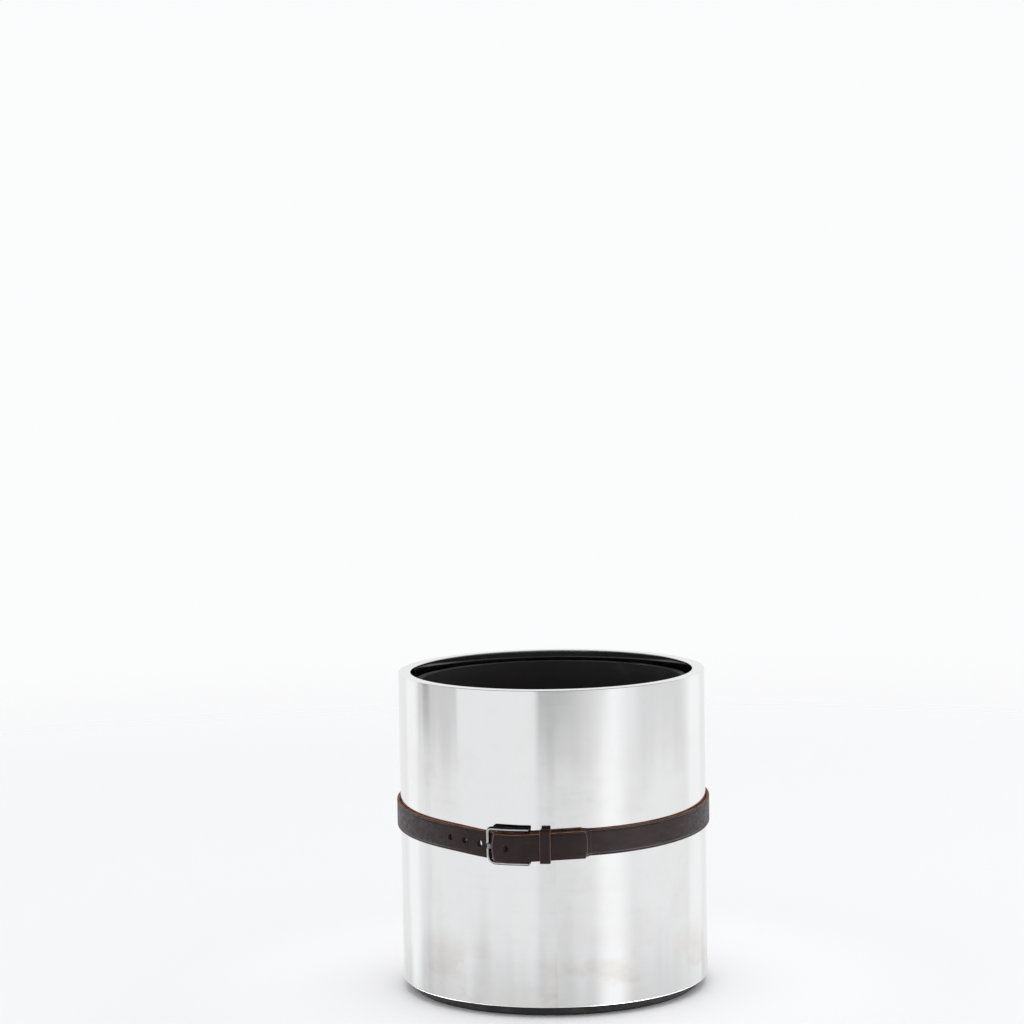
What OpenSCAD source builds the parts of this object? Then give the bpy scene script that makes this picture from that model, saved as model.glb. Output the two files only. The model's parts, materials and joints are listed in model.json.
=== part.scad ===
// Polished metal cylinder planter with a leather belt buckled round it.
// Millimetres, +Z up. The origin is on the floor, on the planter's axis, and the buckle side faces -Y.
// Angles round the planter are measured from -Y and grow towards +X.

/* [Planter body] */
// Outside diameter of the polished cylinder
body_d = 356; // [340:1:372]
// Height from the floor to the top of the rim
total_h = 370; // [350:1:390]
// Thickness of the rolled sheet
sheet_t = 2; // [1.5:0.5:3]
// Gap between the floor and the lower edge of the cylinder
toe_gap = 12; // [8:1:16]

/* [Rim and base] */
// Width of the flat rim ring
rim_w = 14; // [12:1:18]
// Thickness of the rim ring
rim_t = 3; // [2.5:0.5:4]
// Rounding of the rim's outer edge
rim_outer_round = 1.5; // [0.5:0.25:2]
// Rounding of the rim's inner edge
rim_inner_round = 1; // [0.5:0.25:1.25]
// Height of the base disc's underside above the floor
base_z = 30; // [26:1:34]
// Thickness of the base disc
base_t = 3; // [2:0.5:4]
// Number of screws that hold the plinth
screw_count = 6; // [4:1:8]
// Radius of the circle that the screws stand on
screw_circle_r = 150; // [145:1:155]

/* [Plinth] */
// How far the plinth stands back from the cylinder
plinth_recess = 10; // [8:1:14]
// Width of the plinth ring
plinth_w = 36; // [30:1:40]
// Thickness of the rubber ring on the floor
foot_t = 3; // [2:0.5:5]

/* [Inner pot and saucer] */
// Outside radius of the drip saucer at its lip
saucer_r = 160; // [152:1:161]
// Height of the drip saucer
saucer_h = 25; // [20:1:35]
// Outside radius of the grow pot's flange
pot_flange_r = 162; // [158:1:162]
// Depth of the grow pot's flange below the rim's top
pot_drop = 12; // [8:1:20]
// Outside radius of the grow pot at its foot
pot_foot_r = 138; // [130:1:142]
// Wall of the grow pot
pot_wall = 2.5; // [2:0.5:4]
// Number of drain holes in the grow pot
drain_count = 8; // [4:1:12]

/* [Belt] */
// Width of the leather strap
belt_w = 30; // [26:1:32]
// Thickness of the leather strap
belt_t = 3.8; // [3.4:0.1:4]
// Height of the belt's centre above the floor
belt_z = 207.2; // [150:0.1:260]
// Tilt of the belt, with the buckle side lower, in degrees
belt_tilt = 2.7; // [0:0.1:2.8]
// Gap between the cylinder and the strap
belt_gap = 1.3; // [1.3:0.1:2]
// Distance between two belt holes
hole_pitch = 20; // [18:1:24]
// Width of a belt hole along the strap
hole_w = 5; // [4:0.5:6]
// Height of a belt hole
hole_h = 8.5; // [8:0.5:10]

/* [Buckle] */
// Clear height inside the buckle frame
frame_inner_h = 34.6; // [34.6:0.1:38]
// Radius of the frame's round bars
frame_bar_r = 2.1; // [1.9:0.1:2.2]
// Radius of the pivot pin
pin_r = 1.8; // [1.5:0.1:1.8]
// Width of the prong, up and down
prong_w = 6.2; // [5:0.1:6.4]
// Width of the keeper loop, along the strap, in degrees
keeper_span = 3.4; // [3:0.1:3.8]

/* [Hidden] */
$fn = 96;
eps = 0.01;
// How far a cutter reaches past the surface it opens
past = 1;

// Body
body_r = body_d / 2;
rim_z = total_h - rim_t;
rim_in_r = body_r - rim_w;
base_top = base_z + base_t;

// Plinth and its countersunk screws
plinth_r = body_r - plinth_recess;
plinth_in_r = plinth_r - plinth_w;
foot_inset = 4;
screw_r = 2.5;
screw_head_r = 5.5;
screw_head_h = 2.8;
screw_len = 24;
screw_slot_w = 1.4;

// Grow pot and saucer
saucer_wall = 2.5;
saucer_taper = 8;
saucer_floor = 3;
pot_z = base_top + saucer_floor;
pot_top = total_h - pot_drop;
pot_lip_w = 6;
pot_lip_h = 9;
pot_foot_h = 5;
drain_r = 6;
drain_circle_r = 105;
drain_gap_w = 14;

// Strap: radii of its layers, counted outwards from the cylinder
flap_t = 2.2;
layer_gap = 0.2;
keeper_gap = 2.2;
wrap_r = body_r + belt_gap + belt_t / 2;
flap_r = body_r + belt_gap + flap_t / 2;
flap_end_r = wrap_r;
strap_in_r = body_r + belt_gap + flap_t + keeper_gap;
strap_r = strap_in_r + belt_t / 2;
strap_out_r = strap_in_r + belt_t;
skived_r = strap_out_r - flap_t / 2;
tip_in_r = strap_out_r + layer_gap;
tip_r = tip_in_r + belt_t / 2;
tip_out_r = tip_in_r + belt_t;

// Strap: angles of its stretches
step_a = 2.5;
flap_end_a = 9.4;
flap_thick_a = 2.6;
flap_thin_a = 2.1;
pin_a = -9.8;
skive_start_a = -8.4;
skive_end_a = -7;
ease_start_a = 9.9;
ease_end_a = 14.5;
ramp_start_a = 336.7;
ramp_end_a = 339.3;
tip_end_a = 370.8;
tip_sagitta = 3.3;
tip_end_round = (pow(belt_w / 2, 2) + pow(tip_sagitta, 2)) / (2 * tip_sagitta);
tip_first_hole_a = -17;
prong_hole_a = -21.8;
prong_hole_l = 9;
prong_hole_t = 5.2;
prong_hole_out_r = body_r + 11.5;
wrap_first_hole_a = -27.8;
wrap_hole_count = 3;
wrap_pitch_a = hole_pitch / wrap_r * 180 / PI;

// Pivot pin, and the fold of leather round it
pin_fold_gap = 0.1;
fold_r = pin_r + pin_fold_gap + flap_t / 2;
pin_centre_r = flap_r + fold_r;
fold_slot_left = 9;
fold_slot_right = 5.5;
fold_slot_play = 0.8;

// Two columns of two posts clamp the flap to the strap
post_columns = [-7.2, 4.5];
post_rows = [-9, 9];
post_r = 2;
post_head_r = 3.6;
post_head_t = 0.8;
post_screw_r = 1.3;
post_bore_r0 = flap_r + 1;
post_slot_w = 0.8;
post_slot_depth = 0.4;
post_in_r = body_r + belt_gap;

// Buckle frame
frame_z = -2;
frame_centre_r = body_r + 8.2;
frame_corner_r = 4;
frame_corner_a = -22.57;
frame_arm_z = frame_inner_h / 2 + frame_bar_r;
frame_boss_r = 3;
pin_engagement = 3;
notch_depth = 1.9;
notch_play = 0.4;
notch_w = prong_w + 2 * notch_play;

// Prong
prong_z = -0.8;
prong_t = 2.6;
eye_gap = 0.07;
eye_r = 3.4;

// Keeper
keeper_a = -5.1;
keeper_t = 1.6;
keeper_half_h = 19.2;
keeper_play = 0.3;
keeper_in_r = strap_in_r - keeper_play;
keeper_out_r = tip_out_r + keeper_play;
keeper_round = 2;
keeper_slit = 0.3;
staple_w = 0.8;
staple_half_h = 4;
staple_t = 0.4;
staple_short = 0.1;

// A point at an angle round the planter and a radius from its axis
function polar(a, r) = [r * sin(a), -r * cos(a)];
function mix(p, q, u) = p + (q - p) * u;
// An S-shaped blend from 0 to 1 made of two parabolas
function s_blend(u) = u < 0.5 ? 2 * u * u : 1 - 2 * (1 - u) * (1 - u);
function station(a, r, t) = concat(polar(a, r), [t]);
function steps(a0, a1, step) = max(1, ceil(abs(a1 - a0) / step));
// Stations [x, y, thickness] along a stretch at one radius, without its last point
function run(a0, a1, r, t) =
    let (n = steps(a0, a1, step_a))
    [for (i = [0 : n - 1]) station(mix(a0, a1, i / n), r, t)];
// The same where the radius and the thickness change on the way
function blend_run(a0, a1, r0, r1, t0, t1, n) =
    [for (i = [0 : n - 1])
        let (s = s_blend(i / n))
        station(mix(a0, a1, i / n), mix(r0, r1, s), mix(t0, t1, s))];
// The half turn round the pin, from its inner side to its outer side
function fold_run(n) =
    let (c = polar(pin_a, pin_centre_r), out = polar(pin_a, 1), along = [cos(pin_a), sin(pin_a)])
    [for (i = [0 : n - 1])
        let (f = mix(-90, 90, i / n))
        concat(c + fold_r * (sin(f) * out - cos(f) * along), [flap_t])];

// The whole strap from the end of its folded flap, round the pin and the planter, to its tip
strap_path = concat(
    run(flap_end_a, flap_thick_a, flap_end_r, belt_t),
    blend_run(flap_thick_a, flap_thin_a, flap_end_r, flap_r, belt_t, flap_t, 4),
    run(flap_thin_a, pin_a, flap_r, flap_t),
    fold_run(12),
    run(pin_a, skive_start_a, skived_r, flap_t),
    blend_run(skive_start_a, skive_end_a, skived_r, strap_r, flap_t, belt_t, 4),
    run(skive_end_a, ease_start_a, strap_r, belt_t),
    blend_run(ease_start_a, ease_end_a, strap_r, wrap_r, belt_t, belt_t, 8),
    run(ease_end_a, ramp_start_a, wrap_r, belt_t),
    blend_run(ramp_start_a, ramp_end_a, wrap_r, tip_r, belt_t, belt_t, 14),
    run(ramp_end_a, tip_end_a, tip_r, belt_t),
    [station(tip_end_a, tip_r, belt_t)]);

// The prong's centre line, from the pin over the strap and through its hole to the notch in the frame
prong_path = [
    station(pin_a - 0.5, pin_centre_r + 1.3, prong_t),
    station(-14, body_r + 6.9, prong_t),
    station(-18, body_r + 6.8, prong_t),
    station(-20.2, body_r + 7, prong_t),
    station(-21.8, body_r + 8, prong_t),
    station(-23, body_r + 9.8, prong_t),
    station(-23.8, body_r + 10.1, prong_t),
    station(-24.6, body_r + 10, prong_t - 0.8)];

function side_point(path, i, side) =
    let (last = len(path) - 1,
         p = path[max(i - 1, 0)],
         q = path[min(i + 1, last)],
         d = [q[0] - p[0], q[1] - p[1]] / norm([q[0] - p[0], q[1] - p[1]]))
    [path[i][0], path[i][1]] + side * path[i][2] / 2 * [-d[1], d[0]];
// The outline of a band that follows a path of stations
function band(path) =
    concat([for (i = [0 : len(path) - 1]) side_point(path, i, 1)],
           [for (i = [len(path) - 1 : -1 : 0]) side_point(path, i, -1)]);

// Stands its children on the belt's level plane; the plane itself is tilted towards the front
module belt_place() {
    translate([0, 0, belt_z]) rotate([belt_tilt, 0, 0]) children();
}

// Local axes at an angle and a radius: +X along the strap, -Y outwards, +Z up
module at_front(a, r) {
    rotate([0, 0, a]) translate([0, -r, 0]) children();
}

// A round bar that points outwards between two radii
module radial_rod(a, z, r0, r1, rod_r) {
    at_front(a, r0) translate([0, 0, z]) rotate([90, 0, 0]) cylinder(h = r1 - r0, r = rod_r);
}

// An oval cutter, taller than it is wide, that points outwards between two radii
module oval_cutter(a, r0, r1) {
    end_z = (hole_h - hole_w) / 2;
    radial_rod(a, end_z, r0, r1, hole_w / 2);
    radial_rod(a, -end_z, r0, r1, hole_w / 2);
    at_front(a, r1) translate([-hole_w / 2, 0, -end_z]) cube([hole_w, r1 - r0, 2 * end_z]);
}

module rounded_rect(x0, y0, x1, y1, r) {
    translate([x0 + r, y0]) square([x1 - x0 - 2 * r, y1 - y0]);
    translate([x0, y0 + r]) square([x1 - x0, y1 - y0 - 2 * r]);
    for (x = [x0 + r, x1 - r], y = [y0 + r, y1 - r]) translate([x, y]) circle(r);
}

module outer_shell() {
    color([0.86, 0.87, 0.89])
        rotate_extrude() translate([body_r - sheet_t, toe_gap]) square([sheet_t, rim_z - toe_gap]);
}

module rim_ring() {
    color([0.9, 0.91, 0.93]) rotate_extrude() translate([0, rim_z]) {
        translate([rim_in_r, 0]) square([rim_w, rim_t - rim_outer_round]);
        translate([rim_in_r, 0]) square([rim_inner_round, rim_t - rim_inner_round]);
        translate([rim_in_r + rim_inner_round, 0])
            square([rim_w - rim_inner_round - rim_outer_round, rim_t]);
        translate([rim_in_r + rim_inner_round, rim_t - rim_inner_round]) circle(rim_inner_round);
        translate([body_r - rim_outer_round, rim_t - rim_outer_round]) circle(rim_outer_round);
    }
}

module on_screw_circle() {
    for (i = [0 : screw_count - 1])
        rotate([0, 0, (i + 0.5) * 360 / screw_count]) translate([screw_circle_r, 0, 0]) children();
}

// A countersunk wood screw that hangs from its head, with the top of the head at z = 0
module screw_body() {
    translate([0, 0, -screw_head_h]) cylinder(h = screw_head_h, r1 = screw_r, r2 = screw_head_r);
    translate([0, 0, -screw_len]) cylinder(h = screw_len - screw_head_h + eps, r = screw_r);
}

module base_disc() {
    color([0.7, 0.71, 0.73]) difference() {
        translate([0, 0, base_z]) cylinder(h = base_t, r = body_r - sheet_t);
        on_screw_circle() translate([0, 0, base_top]) screw_body();
    }
}

module plinth_ring() {
    color([0.05, 0.05, 0.05]) difference() {
        translate([0, 0, foot_t]) cylinder(h = base_z - foot_t, r = plinth_r);
        translate([0, 0, foot_t - past]) cylinder(h = base_z - foot_t + 2 * past, r = plinth_in_r);
        on_screw_circle() translate([0, 0, base_top]) screw_body();
    }
}

module plinth_screws() {
    color([0.55, 0.55, 0.55]) on_screw_circle() translate([0, 0, base_top]) difference() {
        screw_body();
        for (turn = [0, 90]) rotate([0, 0, turn])
            translate([-screw_r, -screw_slot_w / 2, -screw_head_h / 2])
                cube([2 * screw_r, screw_slot_w, screw_head_h]);
    }
}

module foot_ring() {
    color([0.03, 0.03, 0.03]) rotate_extrude()
        translate([plinth_in_r + foot_inset, 0]) square([plinth_w - 2 * foot_inset, foot_t]);
}

module drip_saucer() {
    foot_r = saucer_r - saucer_taper;
    color([0.06, 0.06, 0.07]) rotate_extrude() translate([0, base_top]) polygon([
        [0, 0],
        [foot_r, 0],
        [saucer_r, saucer_h - saucer_wall],
        [saucer_r, saucer_h],
        [saucer_r - saucer_wall, saucer_h],
        [foot_r - saucer_wall, saucer_floor],
        [0, saucer_floor]]);
}

module grow_pot() {
    body_top_r = pot_flange_r - pot_lip_w;
    floor_z = pot_z + pot_foot_h;
    color([0.05, 0.05, 0.06]) difference() {
        rotate_extrude() polygon([
            [0, floor_z],
            [pot_foot_r - 2 * pot_wall, floor_z],
            [pot_foot_r - 2 * pot_wall, pot_z],
            [pot_foot_r, pot_z],
            [body_top_r, pot_top - pot_wall],
            [pot_flange_r - pot_wall, pot_top - pot_wall],
            [pot_flange_r - pot_wall, pot_top - pot_lip_h],
            [pot_flange_r, pot_top - pot_lip_h],
            [pot_flange_r, pot_top],
            [body_top_r - pot_wall, pot_top],
            [pot_foot_r - pot_wall, floor_z + pot_wall],
            [0, floor_z + pot_wall]]);
        for (i = [0 : drain_count - 1]) rotate([0, 0, i * 360 / drain_count])
            translate([drain_circle_r, 0, floor_z - past]) cylinder(h = pot_wall + 2 * past, r = drain_r);
        // Gaps in the foot let the water out into the saucer
        for (turn = [0, 90]) rotate([0, 0, turn])
            translate([-pot_foot_r - past, -drain_gap_w / 2, pot_z - past])
                cube([2 * (pot_foot_r + past), drain_gap_w, pot_foot_h]);
    }
}

// Where the posts stand: angle and height of each
module each_post() {
    for (a = post_columns, z = post_rows) {
        $post_a = a;
        $post_z = z;
        children();
    }
}

module belt_strap() {
    color([0.2, 0.15, 0.14]) belt_place() difference() {
        translate([0, 0, -belt_w / 2]) linear_extrude(height = belt_w) polygon(band(strap_path));
        // Rounded end of the tip, cut in the outer layer alone
        at_front(tip_end_a, tip_in_r) difference() {
            translate([-tip_sagitta - past, -belt_t - past, -belt_w / 2 - past])
                cube([tip_sagitta + 3 * past, belt_t + past + layer_gap / 2, belt_w + 2 * past]);
            translate([-tip_end_round, past, 0]) rotate([90, 0, 0])
                cylinder(h = belt_t + 4 * past, r = tip_end_round);
        }
        oval_cutter(tip_first_hole_a, tip_in_r - layer_gap / 2, tip_out_r + past);
        // The hole that holds the prong, where the strap climbs through the frame
        at_front(prong_hole_a, prong_hole_out_r) translate([-prong_hole_l / 2, 0, -hole_h / 2])
            cube([prong_hole_l, prong_hole_t, hole_h]);
        for (i = [0 : wrap_hole_count - 1])
            oval_cutter(wrap_first_hole_a - i * wrap_pitch_a, body_r, wrap_r + belt_t);
        // Window in the fold for the prong's eye
        at_front(pin_a, strap_out_r + layer_gap / 2)
            translate([-fold_slot_left, 0, prong_z - prong_w / 2 - fold_slot_play])
                cube([fold_slot_left + fold_slot_right, belt_t * 3, prong_w + 2 * fold_slot_play]);
        // Holes and recesses for the posts and their screws
        each_post() {
            radial_rod($post_a, $post_z, body_r, strap_out_r + layer_gap / 2, post_r);
            radial_rod($post_a, $post_z, body_r, post_in_r + post_head_t, post_head_r);
            radial_rod($post_a, $post_z, strap_out_r - post_head_t, strap_out_r + layer_gap / 2,
                       post_head_r);
        }
    }
}

module flap_posts() {
    color([0.3, 0.3, 0.32]) belt_place() difference() {
        each_post() {
            radial_rod($post_a, $post_z, post_in_r, post_in_r + post_head_t, post_head_r);
            radial_rod($post_a, $post_z, post_in_r, strap_out_r - post_head_t, post_r);
        }
        each_post()
            radial_rod($post_a, $post_z, post_bore_r0, strap_out_r, post_screw_r);
    }
}

module flap_screws() {
    color([0.35, 0.35, 0.37]) belt_place() difference() {
        each_post() {
            radial_rod($post_a, $post_z, strap_out_r - post_head_t, strap_out_r, post_head_r);
            radial_rod($post_a, $post_z, post_bore_r0, strap_out_r - post_head_t + eps, post_screw_r);
        }
        each_post()
            at_front($post_a, strap_out_r + past)
                translate([-post_head_r - past, 0, $post_z - post_slot_w / 2])
                    cube([2 * (post_head_r + past), past + post_slot_depth, post_slot_w]);
    }
}

// One bent corner of the frame: side is 1 for the upper corner and -1 for the lower one
module frame_corner(side) {
    at_front(frame_corner_a, frame_centre_r)
        translate([0, 0, side * (frame_arm_z - frame_corner_r)]) rotate([90, 0, 0])
            rotate([0, 0, side > 0 ? 90 : 180])
                rotate_extrude(angle = 90) translate([frame_corner_r, 0]) circle(frame_bar_r);
}

module frame_arm(side) {
    rotate([0, 0, frame_corner_a - 90]) rotate_extrude(angle = pin_a - frame_corner_a)
        translate([frame_centre_r, side * frame_arm_z]) circle(frame_bar_r);
    at_front(pin_a, pin_centre_r) translate([0, 0, side * frame_arm_z - frame_bar_r])
        cylinder(h = 2 * frame_bar_r, r = frame_boss_r);
}

module buckle_frame() {
    bar_half = frame_arm_z - frame_corner_r;
    color([0.25, 0.24, 0.25]) belt_place() difference() {
        translate([0, 0, frame_z]) {
            for (side = [-1, 1]) {
                frame_corner(side);
                frame_arm(side);
            }
            at_front(frame_corner_a, frame_centre_r) translate([-frame_corner_r, 0, -bar_half])
                cylinder(h = 2 * bar_half, r = frame_bar_r);
        }
        // Notch that the prong rests in
        at_front(frame_corner_a, frame_centre_r)
            translate([-frame_corner_r - 2 * frame_bar_r, -frame_bar_r - past, prong_z - notch_w / 2])
                cube([4 * frame_bar_r, past + notch_depth, notch_w]);
        pin_body(pin_engagement);
    }
}

// The pivot pin, reaching a given length into each end of the frame
module pin_body(reach) {
    half = frame_inner_h / 2 + reach;
    at_front(pin_a, pin_centre_r) translate([0, 0, frame_z - half]) cylinder(h = 2 * half, r = pin_r);
}

module buckle_pin() {
    color([0.4, 0.4, 0.42]) belt_place() pin_body(pin_engagement);
}

module buckle_prong() {
    color([0.22, 0.21, 0.22]) belt_place() translate([0, 0, prong_z - prong_w / 2]) difference() {
        union() {
            linear_extrude(height = prong_w) polygon(band(prong_path));
            at_front(pin_a, pin_centre_r) cylinder(h = prong_w, r = eye_r);
        }
        at_front(pin_a, pin_centre_r) translate([0, 0, -past])
            cylinder(h = prong_w + 2 * past, r = pin_r + eye_gap);
    }
}

module staple_body() {
    crown_r = keeper_in_r - keeper_t;
    at_front(keeper_a + keeper_span / 2, crown_r + staple_t)
        translate([-staple_w / 2, 0, -staple_half_h]) cube([staple_w, staple_t, 2 * staple_half_h]);
    for (side = [-1, 1])
        at_front(keeper_a + keeper_span / 2, keeper_in_r - staple_short)
            translate([-staple_w / 2, 0, side * (staple_half_h - staple_w / 2) - staple_w / 2])
                cube([staple_w, keeper_t - 2 * staple_short, staple_w]);
}

module belt_keeper() {
    color([0.2, 0.15, 0.14]) belt_place() difference() {
        rotate([0, 0, keeper_a - 90]) rotate_extrude(angle = keeper_span) difference() {
            rounded_rect(keeper_in_r - keeper_t, -keeper_half_h,
                         keeper_out_r + keeper_t, keeper_half_h, keeper_round);
            translate([keeper_in_r, keeper_t - keeper_half_h])
                square([keeper_out_r - keeper_in_r, 2 * (keeper_half_h - keeper_t)]);
        }
        // Butt joint at the back of the loop, and the bed of the staple that closes it
        at_front(keeper_a + keeper_span / 2, keeper_in_r + past)
            translate([-keeper_out_r / 4, 0, -keeper_slit / 2])
                cube([keeper_out_r / 2, keeper_t + 2 * past, keeper_slit]);
        staple_body();
    }
}

module keeper_staple() {
    color([0.6, 0.6, 0.62]) belt_place() staple_body();
}

outer_shell();
rim_ring();
base_disc();
plinth_ring();
plinth_screws();
foot_ring();
drip_saucer();
grow_pot();
belt_strap();
flap_posts();
flap_screws();
buckle_frame();
buckle_pin();
buckle_prong();
belt_keeper();
keeper_staple();
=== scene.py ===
"""Looks for the belted cylinder planter: polished metal, a buckled leather belt and a plain studio."""

import json
from math import atan2, ceil, cos, degrees, exp, hypot, pi, radians, sin

import bmesh
import bpy
from mathutils import Matrix, Vector


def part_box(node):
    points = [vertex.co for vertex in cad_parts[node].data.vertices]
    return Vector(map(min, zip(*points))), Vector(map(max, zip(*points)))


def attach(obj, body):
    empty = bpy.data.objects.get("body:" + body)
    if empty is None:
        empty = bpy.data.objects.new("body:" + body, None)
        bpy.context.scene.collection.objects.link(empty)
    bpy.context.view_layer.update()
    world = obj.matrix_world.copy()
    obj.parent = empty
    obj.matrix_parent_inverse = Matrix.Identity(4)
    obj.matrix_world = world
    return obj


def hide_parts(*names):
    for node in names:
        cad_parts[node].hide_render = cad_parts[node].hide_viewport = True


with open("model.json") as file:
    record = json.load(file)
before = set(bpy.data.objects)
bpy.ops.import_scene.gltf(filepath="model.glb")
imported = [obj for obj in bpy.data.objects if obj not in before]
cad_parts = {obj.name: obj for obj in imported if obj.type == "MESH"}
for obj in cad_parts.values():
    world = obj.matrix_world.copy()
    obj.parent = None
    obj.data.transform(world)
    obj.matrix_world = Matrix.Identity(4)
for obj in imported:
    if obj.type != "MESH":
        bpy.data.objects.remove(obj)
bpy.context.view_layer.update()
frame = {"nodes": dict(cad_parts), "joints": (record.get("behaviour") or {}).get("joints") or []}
MM = 0.001

# ---------------------------------------------------------------- places, worked out from the frame

JOINTS = {j["name"]: j for j in frame["joints"]}
BELT_AXIS = Vector(JOINTS["belt_turn"]["axis"]).normalized()
BELT_CENTRE = Vector(JOINTS["belt_turn"]["pos_m"])
# Turns the level plane that the belt is drawn in onto its tilted place
BELT_TILT = Vector((0, 0, 1)).rotation_difference(BELT_AXIS)
BELT_PLACE = Matrix.Translation(BELT_CENTRE) @ BELT_TILT.to_matrix().to_4x4()


def belt_span(node):
    """Span of angle, radius and height of a CAD node in the belt's own level plane, in degrees and metres."""
    inverse = BELT_PLACE.inverted()
    points = [inverse @ v.co for v in frame["nodes"][node].data.vertices]
    angles = [degrees(atan2(p.x, -p.y)) for p in points]
    radii = [hypot(p.x, p.y) for p in points]
    heights = [p.z for p in points]
    return tuple((min(v), max(v)) for v in (angles, radii, heights))


def round_size(node):
    """Outer radius, lowest and highest point of a round CAD node that stands on the planter's axis."""
    low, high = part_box(node)
    return max(-low.x, high.x, -low.y, high.y), low.z, high.z


BODY_R, SHELL_Z0, SHELL_Z1 = round_size("outer_shell")
_, RIM_Z0, RIM_Z1 = round_size("rim_ring")
STRAP_ANGLES, STRAP_RADII, STRAP_HEIGHTS = belt_span("belt_strap")
KEEPER_ANGLES, KEEPER_RADII, KEEPER_HEIGHTS = belt_span("belt_keeper")
FRAME_ANGLES, FRAME_RADII, FRAME_HEIGHTS = belt_span("buckle_frame")
_, _, PRONG_HEIGHTS = belt_span("buckle_prong")
PIN_ANGLES, PIN_RADII, _ = belt_span("buckle_pin")

SHEET_T = 2 * MM
RIM_W = 14 * MM
BELT_W = STRAP_HEIGHTS[1] - STRAP_HEIGHTS[0]
BELT_T = 3.2 * MM
FLAP_T = 2.2 * MM
LAYER_STEP = 4.0 * MM
WRAP_R = STRAP_RADII[0] - 0.3 * MM + BELT_T / 2
TIP_R = STRAP_RADII[1] - BELT_T / 2
STRAP_R = TIP_R - LAYER_STEP
FLAP_R = STRAP_RADII[0] + FLAP_T / 2
PIN_R = (PIN_RADII[1] - PIN_RADII[0]) / 2
PIN_A = sum(PIN_ANGLES) / 2
PIN_CENTRE_R = sum(PIN_RADII) / 2
FOLD_R = PIN_CENTRE_R - FLAP_R

# ---------------------------------------------------------------- mesh helpers


def new_object(name, mesh):
    piece = bpy.data.objects.new(name, mesh)
    bpy.context.scene.collection.objects.link(piece)
    return piece


def mesh_object(name, vertices, faces, smooth=True):
    mesh = bpy.data.meshes.new(name)
    mesh.from_pydata([tuple(v) for v in vertices], [], faces)
    mesh.validate()
    mesh.polygons.foreach_set("use_smooth", [smooth] * len(mesh.polygons))
    mesh.update()
    return new_object(name, mesh)


def outward(piece):
    """Makes every face of a closed mesh look outwards."""
    bm = bmesh.new()
    bm.from_mesh(piece.data)
    bmesh.ops.remove_doubles(bm, verts=bm.verts, dist=1e-7)
    bmesh.ops.recalc_face_normals(bm, faces=bm.faces)
    bm.to_mesh(piece.data)
    bm.free()
    return piece


def sharpen(piece, angle=35):
    """Shades smoothly, with a crisp line where two faces meet at more than this angle."""
    piece.data.set_sharp_from_angle(angle=radians(angle))
    return piece


def apply_modifiers(piece):
    graph = bpy.context.evaluated_depsgraph_get()
    mesh = bpy.data.meshes.new_from_object(piece.evaluated_get(graph))
    piece.modifiers.clear()
    piece.data = mesh
    return piece


def arc(cx, cy, r, a0, a1, n):
    """Points on an arc, with both of its ends, angles in degrees."""
    steps = [radians(a0 + (a1 - a0) * i / n) for i in range(n + 1)]
    return [(cx + r * cos(a), cy + r * sin(a)) for a in steps]


def lathe(name, outline, segments, wobble=None):
    """A closed ring: the outline's (radius, height) points turned about the planter's axis.
    wobble(angle, radius, height) may move a point's radius a little."""
    vertices, faces = [], []
    n = len(outline)
    for i in range(segments):
        a = 2 * pi * i / segments
        for r, z in outline:
            rr = r + (wobble(a, r, z) if wobble else 0)
            vertices.append((rr * sin(a), -rr * cos(a), z))
    for i in range(segments):
        k = (i + 1) % segments
        for j in range(n):
            m = (j + 1) % n
            faces.append((i * n + j, k * n + j, k * n + m, i * n + m))
    return outward(mesh_object(name, vertices, faces))


def sweep(name, rings, closed=False):
    """Joins rings of points, each ring a closed loop with the same number of points."""
    n = len(rings[0])
    vertices = [p for ring in rings for p in ring]
    faces = []
    last = len(rings) if closed else len(rings) - 1
    for i in range(last):
        k = (i + 1) % len(rings)
        for j in range(n):
            m = (j + 1) % n
            faces.append((i * n + j, i * n + m, k * n + m, k * n + j))
    if not closed:
        faces.append(tuple(range(n - 1, -1, -1)))
        faces.append(tuple(range((len(rings) - 1) * n, len(rings) * n)))
    return mesh_object(name, vertices, faces)


# ---------------------------------------------------------------- material helpers


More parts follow.
